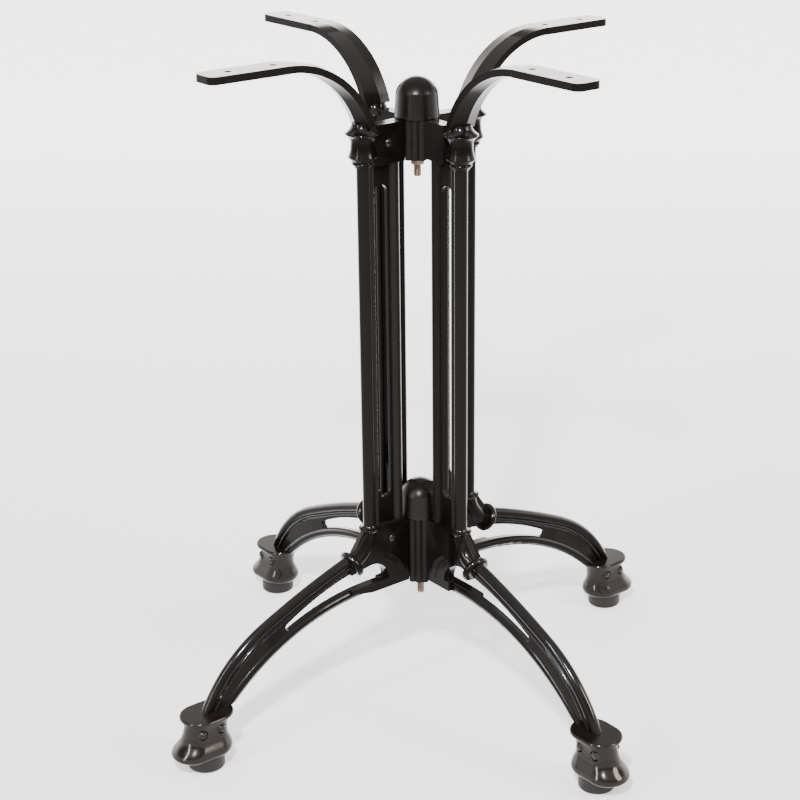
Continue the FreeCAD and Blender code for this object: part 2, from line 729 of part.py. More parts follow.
def make_dome(name, level):
    """Hollow domed cap with a threaded socket for the stud."""
    body = new_body(name)
    base = f"{level}_tab_top"
    shape = new_sketch(body, "DomeSketch", shift=("0", base, "0"))
    outline(shape, [
        ("0", "0"), ("dome_r - 0.8", "0"), ("dome_r", "0.8"),
        ("dome_neck", "dome_side", "dome_round", "left"), ("0", "dome_tall"),
    ])
    turned(body, "Dome", shape)
    hollow = new_sketch(body, "HollowSketch", "XY_Plane", ("0", "0", base))
    circle(hollow, "0", "0", "2 * (dome_neck - dome_wall)")
    circle(hollow, "0", "0", "2 * stud_d")
    pocket(body, "Hollow", hollow, "dome_side - dome_wall", middle=False, reverse=True)
    socket = new_sketch(body, "SocketSketch", "XY_Plane", ("0", "0", base))
    circle(socket, "0", "0", "stud_d")
    pocket(body, "Socket", socket, "stud_in + 1", middle=False, reverse=True)
    return body


def make_round_bar(name, diameter, low, top):
    """Upright round bar with small end chamfers."""
    body = new_body(name)
    shape = new_sketch(body, "BarSketch")
    outline(shape, [
        ("0", low), (f"{diameter} / 2 - 0.8", low), (f"{diameter} / 2", f"{low} + 0.8"),
        (f"{diameter} / 2", f"{top} - 0.8"), (f"{diameter} / 2 - 0.8", top), ("0", top),
    ])
    turned(body, "Bar", shape)
    return body


def make_nut(name, low, tall, flats, bore):
    """Hexagon nut."""
    body = new_body(name)
    shape = new_sketch(body, "NutSketch", "XY_Plane", ("0", "0", low))
    outline(shape, [(f"{flats} / sqrt(3) * cos({60 * i} * 1deg)", f"{flats} / sqrt(3) * sin({60 * i} * 1deg)")
                    for i in range(6)])
    circle(shape, "0", "0", bore)
    pad(body, "Nut", shape, tall)
    return body


def make_washer(name, low):
    """Flat washer."""
    body = new_body(name)
    shape = new_sketch(body, "WasherSketch", "XY_Plane", ("0", "0", low))
    circle(shape, "0", "0", "washer_d")
    circle(shape, "0", "0", "stud_d + bore_gap")
    pad(body, "Washer", shape, "washer_t")
    return body


def make_screw(name, shank_d, head_d, head_t, seat, tip):
    """Round-headed screw along +Y at the origin: its head sits at the seat, its shank ends at the tip."""
    body = new_body(name)
    shape = new_sketch(body, "ScrewSketch", "XY_Plane")
    outline(shape, [
        ("0", tip), (f"{shank_d} / 2 - 0.5", tip), (f"{shank_d} / 2", f"{tip} + 0.5"),
        (f"{shank_d} / 2", seat), (f"{head_d} / 2", seat),
        (f"{head_d} / 2", f"{seat} + 0.45 * {head_t}"),
        (f"{head_d} / 2 - 0.35 * {head_t}", f"{seat} + 0.85 * {head_t}"),
        (f"{head_d} / 4", f"{seat} + {head_t}"), ("0", f"{seat} + {head_t}"),
    ])
    turned(body, "Screw", shape)
    slot = new_sketch(body, "SlotSketch")
    slot.AttachmentOffset = FreeCAD.Placement(FreeCAD.Vector(), FreeCAD.Rotation())
    bind(slot, "AttachmentOffset.Base.z", f"0 - ({seat} + {head_t})")
    box_outline(slot, f"0 - {head_d} / 2", "-0.6", f"{head_d} / 2", "0.6")
    pocket(body, "Slot", slot, f"0.45 * {head_t}", middle=False, reverse=True)
    return body


def stadium(sketch, centre, half, rounding):
    """Outline with two straight sides and two round ends, long in X."""
    return outline(sketch, [
        (f"{centre} - {half}", f"0 - {rounding}"),
        (f"{centre} + {half}", f"0 - {rounding}", rounding, "left"),
        (f"{centre} + {half} + {rounding}", "0", rounding, "left"),
        (f"{centre} + {half}", rounding),
        (f"{centre} - {half}", rounding, rounding, "left"),
        (f"{centre} - {half} - {rounding}", "0", rounding, "left"),
    ])


# Shoe levels: height, shift outward, growth of the straight side, rounding
SHOE_LEVELS = (
    ("shoe_top - flange_t + 0.6", "0.2", "0.4", "1.13 * waist_round"),
    ("shoe_top - 11", "1", "1", "1.02 * waist_round"),
    ("cross_z - 2", "2.5", "1.5", "waist_round"),
    ("shoe_low + 19", "4", "1.8", "1.09 * waist_round"),
    ("shoe_low + 11", "6", "2.5", "0.92 * skirt_round"),
    ("shoe_low + 5", "7.5", "3", "skirt_round"),
    ("shoe_low", "7.5", "2.5", "0.885 * skirt_round"),
)


def make_shoe():
    """Cast shoe: flange, waist and flared skirt, slotted for the leg's tang."""
    body = new_body("shoe_casting")
    sections = []
    for i, (z, shift, grow, rounding) in enumerate(SHOE_LEVELS):
        sketch = new_sketch(body, f"ShoeSection{i}", "XY_Plane", ("0", "0", z))
        sections.append(stadium(sketch, f"(shoe_r + {shift})", f"(shoe_half + {grow})", f"({rounding})"))
    loft = body.newObject("PartDesign::AdditiveLoft", "Skirt")
    loft.Profile = sections[0]
    loft.Sections = sections[1:]
    doc.recompute()
    flange = []
    for i, (drop, less) in enumerate((("flange_t", "1.6"), ("0.72 * flange_t", "0.35"),
                                      ("0.45 * flange_t", "0"), ("0.2 * flange_t", "0.3"), ("0", "1.3"))):
        sketch = new_sketch(body, f"FlangeSection{i}", "XY_Plane", ("0", "0", f"shoe_top - {drop}"))
        flange.append(stadium(sketch, "shoe_r", "shoe_half", f"(flange_round - {less})"))
    rim = body.newObject("PartDesign::AdditiveLoft", "Flange")
    rim.Profile = flange[0]
    rim.Sections = flange[1:]
    doc.recompute()
    slot = tang_outline(new_sketch(body, "TangSlotSketch"), "fit_gap", "2")
    pocket(body, "TangSlot", slot, "web_t + 2 * fit_gap")
    for name, r in (("In", "cross_in_r"), ("Out", "cross_out_r")):
        bolt_hole(body, "CrossHole" + name, r, "cross_z", "cross_d + bore_gap")
        for side, back in (("cross_seat", True), ("0 - cross_seat", False)):
            recess = new_sketch(body, f"Recess{name}{int(back)}", shift=("0", "0", side))
            circle(recess, r, "cross_z", "cross_recess_d")
            pocket(body, f"Recess{name}Cut{int(back)}", recess, "12", middle=False, reverse=back)
    stud = new_sketch(body, "GlideHoleSketch", "XY_Plane", ("0", "0", "shoe_low"))
    circle(stud, "glide_r", "0", "glide_stud_d")
    pocket(body, "GlideHole", stud, "glide_stud_top + 0.8 - shoe_low", middle=False, reverse=True)
    return body


def make_glide():
    """Round glide with a rounded lower edge and a socket for its stud."""
    body = new_body("glide_disc")
    shape = new_sketch(body, "GlideSketch", shift=("glide_r", "0", "0"))
    outline(shape, [
        ("0", "0"),
        ("glide_d / 2 - glide_edge", "0", "glide_edge", "left"),
        ("glide_d / 2", "glide_edge"),
        ("glide_d / 2", "shoe_low - 1"),
        ("glide_d / 2 - 1", "shoe_low"),
        ("0", "shoe_low"),
    ])
    turned(body, "Glide", shape)
    socket = new_sketch(body, "GlideSocketSketch", "XY_Plane", ("0", "0", "shoe_low"))
    circle(socket, "glide_r", "0", "glide_stud_d")
    pocket(body, "GlideSocket", socket, "shoe_low - 6", middle=False)
    return body


def make_glide_stud():
    """Short stud that joins glide and shoe."""
    body = new_body("glide_pin")
    shape = new_sketch(body, "PinSketch", "XY_Plane", ("0", "0", "6.2"))
    circle(shape, "glide_r", "0", "glide_stud_d")
    pad(body, "Pin", shape, "glide_stud_top - 6.2")
    return body


def four_group(master, name, spots):
    """Identical fasteners at quarter turns, kept together as separate solids."""
    copies = []
    for i in range(4):
        for j, (r, z, flip) in enumerate(spots):
            copy = doc.addObject("PartDesign::SubShapeBinder", f"{name}_{i}_{j}")
            copy.Support = [(master, ("",))]
            turn = upright_turn(90 * i)
            if flip:
                turn = turn.multiply(upright_turn(180))
            copy.Placement = FreeCAD.Placement(FreeCAD.Vector(), turn)
            bind(copy, "Placement.Base.x", f"({r}) * {(1, 0, -1, 0)[i]}")
            bind(copy, "Placement.Base.y", f"({r}) * {(0, 1, 0, -1)[i]}")
            bind(copy, "Placement.Base.z", z)
            copies.append(copy)
    return copies


def grouped(copies, name):
    """One sub-part made of several separate solids."""
    group = doc.addObject("Part::Compound", name)
    group.Links = copies
    doc.recompute()
    keep(group, name)


leg = make_leg()
four_around(leg, [f"leg_frame_{i + 1}" for i in range(4)])
shoe = make_shoe()
four_around(shoe, [f"shoe_{i + 1}" for i in range(4)])
four_around(make_glide(), [f"glide_{i + 1}" for i in range(4)])
four_around(make_glide_stud(), [f"glide_stud_{i + 1}" for i in range(4)])
for level, word in (("high", "upper"), ("low", "lower")):
    keep(make_hub(f"{word}_hub", level), f"{word}_hub")
    keep(make_dome(f"{word}_dome_cap", level), f"{word}_dome_cap")
    seat = f"{level}_boss_low + {level}_recess"
    keep(make_washer(f"{word}_washer", f"{seat} - washer_t"), f"{word}_washer")
    under = f"({seat} - washer_t - nut_tall)"
    keep(make_nut(f"{word}_nut", under, "nut_tall", "nut_flats", "stud_d"), f"{word}_nut")
    keep(make_round_bar(f"{word}_stud", "stud_d", f"({under} - {level}_tail)",
                        f"({level}_tab_top + stud_in)"), f"{word}_stud")
lap_screw = make_screw("lap_screw", "lap_bolt_d", "lap_head_d", "lap_head_t",
                       "(tab_t + lap_gap)", "(0 - lap_gap - lap_bite)")
for level, word in (("high", "upper"), ("low", "lower")):
    spots = [(f"{level}_bolt_r", f"{level}_bolt_z", False)]
    grouped(four_group(lap_screw, f"{word}_lap_screws", spots), f"{word}_lap_screws")
cross_bolt = make_screw("cross_bolt", "cross_d", "cross_head_d", "cross_head_t",
                        "cross_seat", "(0 - cross_seat - 1)")
cross_spots = [("cross_in_r", "cross_z", False), ("cross_out_r", "cross_z", False)]
bolts = four_group(cross_bolt, "cross_bolt_copy", cross_spots)
for i in range(4):
    grouped(bolts[2 * i:2 * i + 2], f"shoe_bolts_{i + 1}")
sleeve = new_body("sleeve_nut")
sleeve_shape = outline(new_sketch(sleeve, "SleeveSketch", "XY_Plane"), [
    ("cross_d / 2", "cross_seat"),
    ("cross_head_d / 2", "cross_seat"),
    ("cross_head_d / 2", "cross_seat + 0.45 * cross_head_t"),
    ("cross_head_d / 2 - 0.35 * cross_head_t", "cross_seat + 0.85 * cross_head_t"),
    ("cross_head_d / 4", "cross_seat + cross_head_t"),
    ("0", "cross_seat + cross_head_t"),
    ("0", "cross_seat + 1.2"),
    ("cross_d / 2", "cross_seat + 1.2"),
])
turned(sleeve, "Sleeve", sleeve_shape)
nuts = four_group(sleeve, "sleeve_nut_copy", [(r, z, True) for r, z, _ in cross_spots])
for i in range(4):
    grouped(nuts[2 * i:2 * i + 2], f"shoe_nuts_{i + 1}")

doc.recompute()
for thing in doc.Objects:
    if "Invalid" in thing.State or "Error" in thing.State:
        raise RuntimeError(f"{thing.Name} did not compute")
os.makedirs("parts", exist_ok=True)
for thing in nodes:
    if thing.Shape.isNull() or not thing.Shape.isValid():
        raise RuntimeError(f"{thing.Label} has no sound shape")
    thing.Shape.exportStep(f"parts/{thing.Label}.step")
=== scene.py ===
import bpy
import math
from mathutils import Euler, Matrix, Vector


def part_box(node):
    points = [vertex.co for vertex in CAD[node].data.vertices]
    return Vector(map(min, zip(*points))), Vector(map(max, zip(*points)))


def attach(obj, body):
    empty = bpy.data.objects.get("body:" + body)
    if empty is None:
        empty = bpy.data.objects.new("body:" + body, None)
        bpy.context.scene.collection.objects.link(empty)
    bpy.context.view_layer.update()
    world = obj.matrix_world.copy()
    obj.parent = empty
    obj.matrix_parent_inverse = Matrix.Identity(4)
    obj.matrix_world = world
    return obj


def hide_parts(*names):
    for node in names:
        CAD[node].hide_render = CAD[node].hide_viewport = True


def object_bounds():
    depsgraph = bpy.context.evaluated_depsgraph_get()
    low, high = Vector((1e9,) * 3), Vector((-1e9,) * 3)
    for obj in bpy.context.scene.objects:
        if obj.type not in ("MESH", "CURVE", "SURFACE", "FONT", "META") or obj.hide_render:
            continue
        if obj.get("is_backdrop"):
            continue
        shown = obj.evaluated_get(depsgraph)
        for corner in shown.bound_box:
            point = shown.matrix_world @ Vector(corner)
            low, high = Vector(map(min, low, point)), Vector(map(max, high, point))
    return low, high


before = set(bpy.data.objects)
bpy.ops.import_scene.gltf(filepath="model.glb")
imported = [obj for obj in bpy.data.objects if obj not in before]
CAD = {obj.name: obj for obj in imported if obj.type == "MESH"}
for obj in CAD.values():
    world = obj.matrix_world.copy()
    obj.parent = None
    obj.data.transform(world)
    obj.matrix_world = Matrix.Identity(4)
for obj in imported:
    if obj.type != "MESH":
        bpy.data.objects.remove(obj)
cad_low, cad_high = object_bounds()

# Leg castings: four alike, in grey iron, each with its arm, capital, slotted column, elbow and ribbed leg.
# They are dipped in black enamel, which is glossiest where it faces up or is seen along, thins on edges
# and holds a little dust in the inner corners. One screw at each hub holds them.


def join(tree, source, out, target, into):
    """Runs one socket to another."""
    tree.links.new(source.outputs[out], target.inputs[into])


def add_node(tree, kind, **values):
    """A node with some of its input sockets set."""
    made = tree.nodes.new(kind)
    for key, value in values.items():
        made.inputs[key.replace("_", " ")].default_value = value
    return made


enamel_finish = bpy.data.node_groups.new("EnamelFinish", "ShaderNodeTree")
for name, kind, value in (
    ("Paint", "NodeSocketColor", (0.0028, 0.0024, 0.0021, 1)),
    ("Worn", "NodeSocketColor", (0.05, 0.046, 0.042, 1)),
    ("Wear", "NodeSocketFloat", 0.12),
    ("Sheen", "NodeSocketFloat", 0.15),
    ("Spread", "NodeSocketFloat", 0.09),
    ("Peel", "NodeSocketFloat", 0.10),
    ("Grain", "NodeSocketFloat", 170.0),
    ("Soft Edge", "NodeSocketFloat", 0.0007),
    ("Dust", "NodeSocketFloat", 0.12),
    ("Facing Coat", "NodeSocketFloat", 0.0),
    ("Grazing Coat", "NodeSocketFloat", 1.0),
    ("Skin Start", "NodeSocketFloat", 0.5),
    ("Skin Full", "NodeSocketFloat", 0.72),
    ("Upward Coat", "NodeSocketFloat", 0.0),
):
    enamel_finish.interface.new_socket(name, in_out="INPUT", socket_type=kind).default_value = value
enamel_finish.interface.new_socket("Base Color", in_out="OUTPUT", socket_type="NodeSocketColor")
enamel_finish.interface.new_socket("Roughness", in_out="OUTPUT", socket_type="NodeSocketFloat")
enamel_finish.interface.new_socket("Coat Weight", in_out="OUTPUT", socket_type="NodeSocketFloat")
enamel_finish.interface.new_socket("Normal", in_out="OUTPUT", socket_type="NodeSocketVector")
entry = enamel_finish.nodes.new("NodeGroupInput")
leave = enamel_finish.nodes.new("NodeGroupOutput")
place = enamel_finish.nodes.new("ShaderNodeTexCoord")
drift = add_node(enamel_finish, "ShaderNodeTexNoise", Scale=9.0, Detail=4.0)
join(enamel_finish, place, "Object", drift, "Vector")
pores = add_node(enamel_finish, "ShaderNodeTexNoise", Detail=3.0)
join(enamel_finish, place, "Object", pores, "Vector")
join(enamel_finish, entry, "Grain", pores, "Scale")
corner = enamel_finish.nodes.new("ShaderNodeNewGeometry")
ridge = add_node(enamel_finish, "ShaderNodeMapRange", From_Min=0.53, From_Max=0.62)
join(enamel_finish, corner, "Pointiness", ridge, "Value")
crevice = add_node(enamel_finish, "ShaderNodeMapRange", From_Min=0.49, From_Max=0.40)
join(enamel_finish, corner, "Pointiness", crevice, "Value")


def times(tree, first, first_out, second, second_out):
    """Product of two values, held between 0 and 1."""
    made = tree.nodes.new("ShaderNodeMath")
    made.operation = "MULTIPLY"
    made.use_clamp = True
    join(tree, first, first_out, made, 0)
    join(tree, second, second_out, made, 1)
    return made


# Paint gives way to worn paint on broken stretches of edge, and to dust in the crevices. Sockets 6 and 7
# of a colour mix are its two colours.
broken_ridge = times(enamel_finish, ridge, "Result", drift, "Fac")
worn_ridge = times(enamel_finish, broken_ridge, "Value", entry, "Wear")
held_dust = times(enamel_finish, crevice, "Result", entry, "Dust")
worn_mix = enamel_finish.nodes.new("ShaderNodeMix")
worn_mix.data_type = "RGBA"
join(enamel_finish, worn_ridge, "Value", worn_mix, 0)
join(enamel_finish, entry, "Paint", worn_mix, 6)
join(enamel_finish, entry, "Worn", worn_mix, 7)
dust_mix = enamel_finish.nodes.new("ShaderNodeMix")
dust_mix.data_type = "RGBA"
dust_mix.inputs[7].default_value = (0.10, 0.09, 0.08, 1)
join(enamel_finish, held_dust, "Value", dust_mix, 0)
join(enamel_finish, worn_mix, 2, dust_mix, 6)
join(enamel_finish, dust_mix, 2, leave, "Base Color")
dullest = enamel_finish.nodes.new("ShaderNodeMath")
join(enamel_finish, entry, "Sheen", dullest, 0)
join(enamel_finish, entry, "Spread", dullest, 1)
gloss = add_node(enamel_finish, "ShaderNodeMapRange", From_Min=0.3, From_Max=0.7)
join(enamel_finish, drift, "Fac", gloss, "Value")
join(enamel_finish, entry, "Sheen", gloss, "To Min")
join(enamel_finish, dullest, "Value", gloss, "To Max")
join(enamel_finish, gloss, "Result", leave, "Roughness")
# The clear skin grows as a surface turns away from the eye, and is at least so thick on what faces up.
turned_away = enamel_finish.nodes.new("ShaderNodeLayerWeight")
turned_away.inputs["Blend"].default_value = 0.5
skin = enamel_finish.nodes.new("ShaderNodeMapRange")
join(enamel_finish, turned_away, "Facing", skin, "Value")
join(enamel_finish, entry, "Skin Start", skin, "From Min")
join(enamel_finish, entry, "Skin Full", skin, "From Max")
join(enamel_finish, entry, "Facing Coat", skin, "To Min")
join(enamel_finish, entry, "Grazing Coat", skin, "To Max")
face_direction = enamel_finish.nodes.new("ShaderNodeSeparateXYZ")
join(enamel_finish, corner, "Normal", face_direction, "Vector")
upward = add_node(enamel_finish, "ShaderNodeMapRange", From_Min=0.2, From_Max=0.6)
join(enamel_finish, face_direction, "Z", upward, "Value")
join(enamel_finish, entry, "Upward Coat", upward, "To Max")
thickest = enamel_finish.nodes.new("ShaderNodeMath")
thickest.operation = "MAXIMUM"
join(enamel_finish, skin, "Result", thickest, 0)
join(enamel_finish, upward, "Result", thickest, 1)
join(enamel_finish, thickest, "Value", leave, "Coat Weight")
# Edges read as softly rounded, with the faint orange peel of dipped paint.
rounded = enamel_finish.nodes.new("ShaderNodeBevel")
rounded.samples = 8
join(enamel_finish, entry, "Soft Edge", rounded, "Radius")
peel = add_node(enamel_finish, "ShaderNodeBump", Distance=0.0005)
join(enamel_finish, entry, "Peel", peel, "Strength")
join(enamel_finish, pores, "Fac", peel, "Height")
join(enamel_finish, rounded, "Normal", peel, "Normal")
join(enamel_finish, peel, "Normal", leave, "Normal")


def enamelled(name, metal=0.0, coat_rough=0.12, coat_index=1.8, level=0.5, **finish):
    """A paint or bare metal whose colour, gloss, skin and normal come from the finish group."""
    paint = bpy.data.materials.new(name)
    paint.use_nodes = True
    shader = paint.node_tree.nodes["Principled BSDF"]
    group = paint.node_tree.nodes.new("ShaderNodeGroup")
    group.node_tree = enamel_finish
    for key, value in finish.items():
        group.inputs[key.replace("_", " ")].default_value = value
    for key in ("Base Color", "Roughness", "Coat Weight", "Normal"):
        join(paint.node_tree, group, key, shader, key)
    shader.inputs["Metallic"].default_value = metal
    shader.inputs["Coat Roughness"].default_value = coat_rough
    shader.inputs["Coat IOR"].default_value = coat_index
    shader.inputs["Specular IOR Level"].default_value = level
    return paint


def dress(paint, *names):
    """Gives CAD nodes their material."""
    for name in names:
        CAD[name].data.materials.clear()
        CAD[name].data.materials.append(paint)


casting_enamel = enamelled("CastingEnamel", level=0.05, Upward_Coat=0.34, Grazing_Coat=0.8,
                           Grain=260.0, Peel=0.03, Wear=0.1, Dust=0.07)
dress(casting_enamel, *[f"leg_frame_{i}" for i in range(1, 5)])

# Hubs: two reeded bosses with four tabs each, cast in the same iron and dipped with the legs.
# They sit deep in the base, in shade, so their black is painted lighter than the legs' to lift that shade
# (painted light); they also keep more dust than the legs.
# Paint: a lighter black than the legs' enamel, a painted lift against the shade deep in the base.
hub_enamel_painted_lighter = enamelled("HubEnamelPaintedLighter", level=0.06, Paint=(0.0040, 0.0037, 0.0035, 1), Sheen=0.22,
                       Wear=0.2, Dust=0.2)
dress(hub_enamel_painted_lighter, "upper_hub", "lower_hub")

# Domed caps: turned iron, sprayed satin black, screwed down on the studs by hand.
# Their finish is finer and duller than the castings'.
cap_satin = enamelled("CapSatin", level=0.17, Grazing_Coat=0.3, Sheen=0.28, Spread=0.06,
                      Peel=0.06, Grain=320.0, Soft_Edge=0.001)
dress(cap_satin, "upper_dome_cap", "lower_dome_cap")

# Studs, nuts and washers: rolled thread on mild steel, zinc plated and yellowed. A nut pulls each
# hub against its cap, and a short length of thread hangs out below it.
plated_zinc = enamelled("PlatedZinc", metal=0.95, Grazing_Coat=0.0, Paint=(0.17, 0.125, 0.09, 1),
                        Worn=(0.45, 0.37, 0.29, 1), Sheen=0.24, Spread=0.18, Dust=0.4, Soft_Edge=0.0003)
thread_turns = bpy.data.node_groups.new("RolledThread", "GeometryNodeTree")
thread_turns.is_modifier = True
for name, kind, value in (
    ("Core Radius", "NodeSocketFloat", 0.0035),
    ("Crest Radius", "NodeSocketFloat", 0.0040),
    ("Low End", "NodeSocketFloat", 0.0),
    ("Length", "NodeSocketFloat", 0.093),
    ("Turns", "NodeSocketFloat", 26.0),
    ("Pitch", "NodeSocketFloat", 0.00125),
    ("Finish", "NodeSocketMaterial", None),
):
    socket = thread_turns.interface.new_socket(name, in_out="INPUT", socket_type=kind)
    if value is not None:
        socket.default_value = value
thread_turns.interface.new_socket("Geometry", in_out="OUTPUT", socket_type="NodeSocketGeometry")


def math_node(tree, operation, first, second):
    """Sum, product or difference of two sockets or numbers."""
    made = tree.nodes.new("ShaderNodeMath")
    made.operation = operation
    for index, part in enumerate((first, second)):
        if isinstance(part, (int, float)):
            made.inputs[index].default_value = part
        else:
            tree.links.new(part, made.inputs[index])
    return made.outputs[0]


turns_in = thread_turns.nodes.new("NodeGroupInput")
turns_out = thread_turns.nodes.new("NodeGroupOutput")
core = thread_turns.nodes.new("GeometryNodeMeshCylinder")
core.inputs["Vertices"].default_value = 48
join(thread_turns, turns_in, "Core Radius", core, "Radius")
join(thread_turns, turns_in, "Length", core, "Depth")
middle = thread_turns.nodes.new("ShaderNodeCombineXYZ")
half_length = math_node(thread_turns, "MULTIPLY", turns_in.outputs["Length"], 0.5)
core_middle = math_node(thread_turns, "ADD", turns_in.outputs["Low End"], half_length)
thread_turns.links.new(core_middle, middle.inputs["Z"])
core_place = thread_turns.nodes.new("GeometryNodeTransform")
join(thread_turns, core, "Mesh", core_place, "Geometry")
join(thread_turns, middle, "Vector", core_place, "Translation")
coil = thread_turns.nodes.new("GeometryNodeCurveSpiral")
coil.inputs["Resolution"].default_value = 40
join(thread_turns, turns_in, "Turns", coil, "Rotations")
join(thread_turns, turns_in, "Core Radius", coil, "Start Radius")
join(thread_turns, turns_in, "Core Radius", coil, "End Radius")
coil_height = math_node(thread_turns, "MULTIPLY", turns_in.outputs["Turns"], turns_in.outputs["Pitch"])
thread_turns.links.new(coil_height, coil.inputs["Height"])
ridge_shape = thread_turns.nodes.new("GeometryNodeCurvePrimitiveCircle")
ridge_shape.inputs["Resolution"].default_value = 4
ridge_depth = math_node(thread_turns, "SUBTRACT", turns_in.outputs["Crest Radius"],
                        turns_in.outputs["Core Radius"])
thread_turns.links.new(ridge_depth, ridge_shape.inputs["Radius"])
ridge_mesh = thread_turns.nodes.new("GeometryNodeCurveToMesh")
ridge_mesh.inputs["Fill Caps"].default_value = True
join(thread_turns, coil, "Curve", ridge_mesh, "Curve")
join(thread_turns, ridge_shape, "Curve", ridge_mesh, "Profile Curve")
coil_lift = thread_turns.nodes.new("ShaderNodeCombineXYZ")
plain_tip = 0.0008
coil_foot = math_node(thread_turns, "ADD", turns_in.outputs["Low End"], plain_tip)
thread_turns.links.new(coil_foot, coil_lift.inputs["Z"])
coil_place = thread_turns.nodes.new("GeometryNodeTransform")
join(thread_turns, ridge_mesh, "Mesh", coil_place, "Geometry")
join(thread_turns, coil_lift, "Vector", coil_place, "Translation")
both = thread_turns.nodes.new("GeometryNodeJoinGeometry")
join(thread_turns, core_place, "Geometry", both, "Geometry")
join(thread_turns, coil_place, "Geometry", both, "Geometry")
whole = thread_turns.nodes.new("GeometryNodeRealizeInstances")
join(thread_turns, both, "Geometry", whole, "Geometry")
coloured = thread_turns.nodes.new("GeometryNodeSetMaterial")
join(thread_turns, whole, "Geometry", coloured, "Geometry")
join(thread_turns, turns_in, "Finish", coloured, "Material")
join(thread_turns, coloured, "Geometry", turns_out, "Geometry")


def grown_from_nodes(name, tree, **inputs):
    """A plain mesh object made by a geometry node tree with the given inputs."""
    holder = bpy.data.objects.new(name + "Holder", bpy.data.meshes.new(name + "Empty"))
    bpy.context.scene.collection.objects.link(holder)
    modifier = holder.modifiers.new("Grow", "NODES")
    modifier.node_group = tree
    for item in tree.interface.items_tree:
        if item.item_type == "SOCKET" and item.in_out == "INPUT":
            key = item.name.replace(" ", "_")
            if key in inputs:
                modifier[item.identifier] = inputs[key]
    bpy.context.view_layer.update()
    solid = bpy.data.meshes.new_from_object(holder.evaluated_get(bpy.context.evaluated_depsgraph_get()))
    bpy.data.objects.remove(holder)
    grown = bpy.data.objects.new(name, solid)
    bpy.context.scene.collection.objects.link(grown)
    return grown


for word in ("upper", "lower"):
    low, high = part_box(f"{word}_stud")
    thread = grown_from_nodes(f"{word}_stud_thread", thread_turns, Low_End=low[2], Length=high[2] - low[2],
                              Crest_Radius=(high[0] - low[0]) / 2, Finish=plated_zinc)
    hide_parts(f"{word}_stud")
    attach(thread, "root")


def chamfered_nut(name, low, high, bore, paint):
    """Hexagon nut between two heights, its corners cut by a cone at both ends."""
    flats = (high[1] - low[1]) / 2
    tall = high[2] - low[2]
    face_share, cone_share, corner_share = 0.985, 1.06, 1.2
    cone_end, corner_start = 0.0006, 0.0011
    rows = [(0.0, flats * face_share), (cone_end, flats * cone_share), (corner_start, flats * corner_share)]
    rows += [(tall - z, widest) for z, widest in reversed(rows)]
    steps = 96
    points, faces = [], []
    for z, widest in rows:
        for k in range(steps):
            turn = 2 * math.pi * k / steps
            flat_turn = (turn + math.pi / 6) % (math.pi / 3) - math.pi / 6
            reach = min(flats / math.cos(math.pi / 6 - abs(flat_turn)), widest)
            points.append((reach * math.cos(turn), reach * math.sin(turn), low[2] + z))
    for z in (tall, 0.0):
        for k in range(steps):
            turn = 2 * math.pi * k / steps
            points.append((bore * math.cos(turn), bore * math.sin(turn), low[2] + z))
    loops = len(rows) + 2
    for row in range(loops):
        for k in range(steps):
            a, b = row * steps + k, row * steps + (k + 1) % steps
            over = ((row + 1) % loops) * steps
            faces.append((a, b, over + (k + 1) % steps, over + k))
    mesh = bpy.data.meshes.new(name)
    mesh.from_pydata(points, [], faces)
    mesh.materials.append(paint)
    nut = bpy.data.objects.new(name, mesh)
    bpy.context.scene.collection.objects.link(nut)
    return nut


nut_bore = 0.0036
for word in ("upper", "lower"):
    low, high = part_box(f"{word}_nut")
    nut = chamfered_nut(f"{word}_hex_nut", low, high, nut_bore, plated_zinc)
    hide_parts(f"{word}_nut")
    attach(nut, "root")
dress(plated_zinc, "upper_washer", "lower_washer")

# Lap screws: slotted round-headed steel screws, blackened, one through each leg plate into the hub tab.
# The driver has polished the rims of their slots.
blackened_steel = enamelled("BlackenedSteel", metal=0.4, Grazing_Coat=0.2, Paint=(0.006, 0.0055, 0.005, 1),
                            Worn=(0.12, 0.11, 0.10, 1), Wear=0.4, Sheen=0.2, Soft_Edge=0.0002)
dress(blackened_steel, "upper_lap_screws", "lower_lap_screws")

# Shoes: small castings with a flange, a waist and a flared skirt, enamelled a touch glossier.
# Each slides up over a leg's tang and is locked by two cross bolts with sleeve nuts.
shoe_enamel = enamelled("ShoeEnamel", level=0.22, Upward_Coat=0.22, Grazing_Coat=0.28, Skin_Full=0.9,
                        Paint=(0.0056, 0.0040, 0.0034, 1), Sheen=0.13, Wear=0.2, Soft_Edge=0.0008)
dress(shoe_enamel, *[f"shoe_{i}" for i in range(1, 5)])
dress(blackened_steel, *[f"shoe_{part}_{i}" for part in ("bolts", "nuts") for i in range(1, 5)])

# Glides: moulded plastic discs on steel pins, pressed into the shoes.
# They are dull and dusty from the floor, with the coarse grain of their mould.
glide_plastic = enamelled("GlidePlastic", level=0.28, Grazing_Coat=0.1, Paint=(0.0068, 0.0055, 0.0055, 1),
                          Worn=(0.03, 0.025, 0.025, 1), Sheen=0.42, Spread=0.18, Peel=0.25, Grain=420.0,
                          Soft_Edge=0.0006, Dust=0.3)
dress(glide_plastic, *[f"glide_{i}" for i in range(1, 5)])
dress(plated_zinc, *[f"glide_stud_{i}" for i in range(1, 5)])

